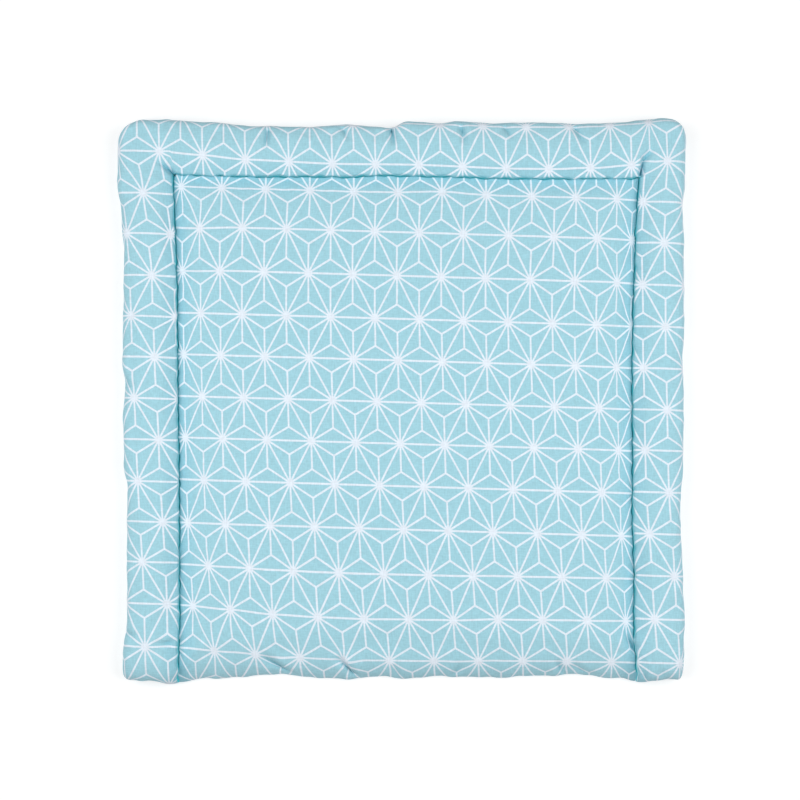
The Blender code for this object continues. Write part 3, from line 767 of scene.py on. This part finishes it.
def printedCotton():
    material = bpy.data.materials.new("printedCotton")
    material.use_nodes = True
    tree = material.node_tree
    shader = tree.nodes["Principled BSDF"]
    place = addNode(tree, "ShaderNodeUVMap", uv_map="clothPlace").outputs["UV"]
    fromOrigin = addNode(
        tree, "ShaderNodeVectorMath", {0: place, 1: (*cotton["origin"], 0)}, operation="SUBTRACT").outputs[0]
    # steps along the row and rows down, counted from the star at the origin
    (ax, ay), (bx, by) = cotton["alongRow"], cotton["nextRow"]
    area = ax * by - ay * bx
    stepVector, rowVector = Vector((by, -bx, 0)) / area, Vector((-ay, ax, 0)) / area
    # the three ways that the lines of a triangular lattice run
    ways = (-rowVector, rowVector / 2 - stepVector, rowVector / 2 + stepVector)
    counts = [addNode(tree, "ShaderNodeVectorMath", {0: fromOrigin, 1: way}, operation="DOT_PRODUCT")
              .outputs["Value"] for way in ways]
    count = addNode(tree, "ShaderNodeCombineXYZ", dict(enumerate(counts))).outputs[0]
    share = addNode(tree, "ShaderNodeVectorMath", {0: count}, operation="FRACTION").outputs[0]
    total = addNode(tree, "ShaderNodeVectorMath", {0: share, 1: (1, 1, 1)}, operation="DOT_PRODUCT")
    flip = addNode(
        tree, "ShaderNodeMath", {0: total.outputs["Value"], 1: 1.5}, operation="GREATER_THAN").outputs[0]
    # triangles that point down count from their other side: share * (1 - 2 flip) + flip
    turn = addNode(tree, "ShaderNodeMath", {0: flip, 1: -2.0, 2: 1.0}, operation="MULTIPLY_ADD").outputs[0]
    inTriangle = addNode(
        tree, "ShaderNodeVectorMath", {0: share, 1: turn, 2: flip}, operation="MULTIPLY_ADD").outputs[0]
    sides = addNode(tree, "ShaderNodeSeparateXYZ", {0: inTriangle}).outputs
    low = addNode(tree, "ShaderNodeMath", {0: sides[0], 1: sides[1]}, operation="MINIMUM").outputs[0]
    high = addNode(tree, "ShaderNodeMath", {0: sides[0], 1: sides[1]}, operation="MAXIMUM").outputs[0]
    lowest = addNode(tree, "ShaderNodeMath", {0: low, 1: sides[2]}, operation="MINIMUM").outputs[0]
    highest = addNode(tree, "ShaderNodeMath", {0: high, 1: sides[2]}, operation="MAXIMUM").outputs[0]
    toEdge = addNode(
        tree, "ShaderNodeMath", {0: lowest, 1: math.sqrt(3) / 2}, operation="MULTIPLY").outputs[0]
    toSpoke = addNode(
        tree, "ShaderNodeMath", {0: highest, 1: -0.5, 2: 0.5}, operation="MULTIPLY_ADD").outputs[0]
    toSpoke = addNode(tree, "ShaderNodeMath", {0: toSpoke, 1: lowest}, operation="SUBTRACT").outputs[0]
    toLine = addNode(tree, "ShaderNodeMath", {0: toEdge, 1: toSpoke}, operation="MINIMUM").outputs[0]
    metres = addNode(
        tree, "ShaderNodeMath", {0: toLine, 1: cotton["alongRow"][0]}, operation="MULTIPLY").outputs[0]
    half, edge = cotton["lineWidth"] / 2, cotton["lineEdge"] / 2
    ink = addNode(
        tree, "ShaderNodeMapRange", {0: metres, 1: half + edge, 2: half - edge, 3: 0.0, 4: 1.0},
        interpolation_type="SMOOTHSTEP").outputs[0]
    # painted shade: beside a channel the ground is painted deeper, for the shade there and the light off the
    # cloth across from it
    beside = addNode(tree, "ShaderNodeAttribute", attribute_name="channelShade").outputs["Fac"]
    ground = addNode(
        tree, "ShaderNodeMix",
        {0: beside, 6: linearColour(cotton["ground"]), 7: linearColour(cotton["paintedShadeBesideChannel"])},
        data_type="RGBA").outputs[2]
    colour = addNode(
        tree, "ShaderNodeMix", {0: ink, 6: ground, 7: linearColour(cotton["line"])},
        data_type="RGBA").outputs[2]
    # streaks of uneven thread both ways through the cloth
    streaks = []
    for size in ((cotton["slubWidth"], cotton["slubLength"]), (cotton["slubLength"], cotton["slubWidth"])):
        along = addNode(
            tree, "ShaderNodeVectorMath", {0: place, 1: (1 / size[0], 1 / size[1], 1)},
            operation="MULTIPLY").outputs[0]
        streaks.append(addNode(
            tree, "ShaderNodeTexNoise", {"Vector": along, "Scale": 1.0, "Detail": 2.0},
            noise_dimensions="2D").outputs["Fac"])
    streak = addNode(tree, "ShaderNodeMath", {0: streaks[0], 1: streaks[1]}, operation="ADD").outputs[0]
    shade = addNode(
        tree, "ShaderNodeMapRange",
        {0: streak, 1: 0.5, 2: 1.5, 3: 1 - cotton["slubShade"], 4: 1 + cotton["slubShade"]}).outputs[0]
    colour = addNode(tree, "ShaderNodeVectorMath", {0: colour, "Scale": shade}, operation="SCALE").outputs[0]
    # painted shade in the folds, deeper where they are deeper
    creased = addNode(tree, "ShaderNodeAttribute", attribute_name="creased").outputs["Fac"]
    colour = addNode(
        tree, "ShaderNodeMix", {0: creased, 6: colour, 7: linearColour(cotton["creased"])},
        data_type="RGBA").outputs[2]
    # painted light: down in a channel the colour turns to a bright tint, for the light that comes through the
    # cloth
    depth = addNode(tree, "ShaderNodeAttribute", attribute_name="channelDepth").outputs["Fac"]
    colour = addNode(
        tree, "ShaderNodeMix", {0: depth, 6: colour, 7: linearColour(cotton["paintedThroughLight"])},
        data_type="RGBA").outputs[2]
    tree.links.new(colour, shader.inputs["Base Color"])
    # over and under of the threads
    turns = addNode(
        tree, "ShaderNodeVectorMath", {0: place, 1: (math.pi / cotton["threadPitch"],) * 3},
        operation="MULTIPLY").outputs[0]
    waves = addNode(tree, "ShaderNodeVectorMath", {0: turns}, operation="SINE").outputs[0]
    waves = addNode(tree, "ShaderNodeSeparateXYZ", {0: waves}).outputs
    weave = addNode(tree, "ShaderNodeMath", {0: waves[0], 1: waves[1]}, operation="MULTIPLY").outputs[0]
    bump = addNode(
        tree, "ShaderNodeBump", {"Height": weave, "Distance": cotton["threadHeight"],
        "Strength": cotton["threadRelief"]})
    tree.links.new(bump.outputs[0], shader.inputs["Normal"])
    shader.inputs["Roughness"].default_value = cotton["roughness"]
    shader.inputs["Sheen Weight"].default_value = cotton["sheen"]
    shader.inputs["Sheen Roughness"].default_value = cotton["sheenRoughness"]
    shader.inputs["Specular IOR Level"].default_value = cotton["shine"]
    return material


# The channel stitching: a straight lockstitch through all layers, over the top and the under cloth

stitching = {
    "length": 0.0032, "thickness": 0.0006, "pitch": 0.0040, "fromFoot": 0.008, "aheadBy": 0.0005,
    "segments": 6, "rings": 4,
    "colour": "#58b3c6", "roughness": 0.45,
}


def channelPaths(piece):
    # the bottom of each channel, on the top and on the under cloth
    columns, rows = clothGrid()
    top = np.arange(columns.size * rows.size).reshape(rows.size, columns.size)
    under = top.copy()
    under[1:-1, 1:-1] = top.size + np.arange((rows.size - 2) * (columns.size - 2)).reshape(rows.size - 2, -1)
    left, right = np.searchsorted(columns, leftChannel), np.searchsorted(columns, rightChannel)
    foot = np.searchsorted(rows, -halfLength + stitching["fromFoot"])
    head = np.searchsorted(rows, headChannel)
    paths = []
    for number, side in ((top, 1), (under, -1)):
        for line in (number[foot:head + 1, left], number[foot:head + 1, right], number[head, left:right + 1]):
            paths.append((np.array([piece.data.vertices[int(k)].co for k in line]), side))
    return paths


def sewChannels(piece):
    deselectAll()
    bpy.ops.mesh.primitive_uv_sphere_add(
        segments=stitching["segments"], ring_count=stitching["rings"], radius=0.5, location=(0, 0, 0))
    stitch = bpy.context.active_object
    stitch.scale = (stitching["thickness"], stitching["thickness"], stitching["length"])
    bpy.ops.object.transform_apply(location=False, rotation=False, scale=True)
    stitches = []
    for path, side in channelPaths(piece):
        run = runningLength(path[None], 1)[0]
        for along in np.arange(stitching["pitch"] / 2, run[-1], stitching["pitch"]):
            place, ahead = [Vector([np.interp(at, run, path[:, k]) for k in range(3)])
                            for at in (along - stitching["aheadBy"], along + stitching["aheadBy"])]
            copy = stitch.copy()
            copy.data = stitch.data.copy()
            copy.location = (place + ahead) / 2 + Vector((0, 0, side * stitching["thickness"] / 2))
            copy.rotation_euler = (ahead - place).to_track_quat("Z", "Y").to_euler()
            bpy.context.scene.collection.objects.link(copy)
            stitches.append(copy)
    deselectAll()
    for copy in stitches:
        copy.select_set(True)
    bpy.context.view_layer.objects.active = stitches[0]
    bpy.ops.object.join()
    bpy.ops.object.transform_apply(location=True, rotation=True, scale=True)
    bpy.ops.object.shade_smooth()
    bpy.data.objects.remove(stitch)
    joined = bpy.context.active_object
    joined.name = joined.data.name = "channelStitches"
    return joined, len(stitches)


def polyesterThread():
    # spun polyester thread: a little shinier than the cotton
    material = bpy.data.materials.new("polyesterThread")
    material.use_nodes = True
    shader = material.node_tree.nodes["Principled BSDF"]
    shader.inputs["Base Color"].default_value = linearColour(stitching["colour"])
    shader.inputs["Roughness"].default_value = stitching["roughness"]
    return material


channelStitches, stitchCount = sewChannels(paddedMat)
channelStitches.data.materials.append(polyesterThread())
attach(channelStitches, bodyName)
print("channels sewn:", stitchCount, "stitches")

paddedMat.data.materials.append(printedCotton())
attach(paddedMat, bodyName)
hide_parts("padded_mat")
print("cloth printed")


# Floor, light and camera

studio = {
    "floorColour": "#bcbcbc", "floorSize": 12.0, "floorDrop": 0.0002,
    # a white acrylic table with a little light under it
    "floorGlow": 0.56, "floorRoughness": 0.9, "floorShine": 0.1,
    "skyStrength": 0.12,
    # a softbox hangs over each side, as over a table in a photo studio
    "lampPlaces": ((-1.1, 0.0, 1.7), (1.1, 0.0, 1.7)), "lampSize": 1.5, "lampPower": 26.6,
    # the photograph's frame is 800 x 800 pixels, 1.36 mm each at the height of the rim seam
    "pixels": 800, "pixelSize": 0.00136, "cameraDistance": 2.4, "cameraTilt": 2.5,
    "aim": (-0.0024, -0.0003, 0.021),
}


def layFloor():
    deselectAll()
    bpy.ops.mesh.primitive_plane_add(size=studio["floorSize"], location=(0, 0, -studio["floorDrop"]))
    floor = bpy.context.active_object
    floor.name = "floor"
    # satin acrylic sheet, lit a little from below
    material = bpy.data.materials.new("whiteAcrylic")
    material.use_nodes = True
    shader = material.node_tree.nodes["Principled BSDF"]
    shader.inputs["Base Color"].default_value = linearColour(studio["floorColour"])
    shader.inputs["Roughness"].default_value = studio["floorRoughness"]
    shader.inputs["Specular IOR Level"].default_value = studio["floorShine"]
    shader.inputs["Emission Color"].default_value = (1, 1, 1, 1)
    shader.inputs["Emission Strength"].default_value = studio["floorGlow"]
    floor.data.materials.append(material)


def lightStudio():
    world = bpy.data.worlds.new("softbox")
    bpy.context.scene.world = world
    world.use_nodes = True
    background = world.node_tree.nodes["Background"]
    background.inputs["Color"].default_value = (1, 1, 1, 1)
    background.inputs["Strength"].default_value = studio["skyStrength"]
    for place in studio["lampPlaces"]:
        deselectAll()
        bpy.ops.object.light_add(type="AREA", location=place)
        lamp = bpy.context.active_object
        lamp.name = "softboxLamp"
        lamp.data.size = studio["lampSize"]
        lamp.data.energy = studio["lampPower"]
        lamp.rotation_euler = (-Vector(place)).to_track_quat("-Z", "Y").to_euler()


def placeCamera():
    camera = bpy.data.cameras.new("camera")
    holder = bpy.data.objects.new("camera", camera)
    bpy.context.scene.collection.objects.link(holder)
    distance, tilt = studio["cameraDistance"], math.radians(studio["cameraTilt"])
    camera.lens = camera.sensor_width * distance / (studio["pixels"] * studio["pixelSize"])
    back = Vector((0, -math.sin(tilt), math.cos(tilt)))
    holder.location = Vector(studio["aim"]) + back * distance
    holder.rotation_euler = (tilt, 0, 0)
    bpy.context.scene.camera = holder


layFloor()
lightStudio()
placeCamera()
bpy.context.scene.view_settings.view_transform = "Standard"
print("studio ready")
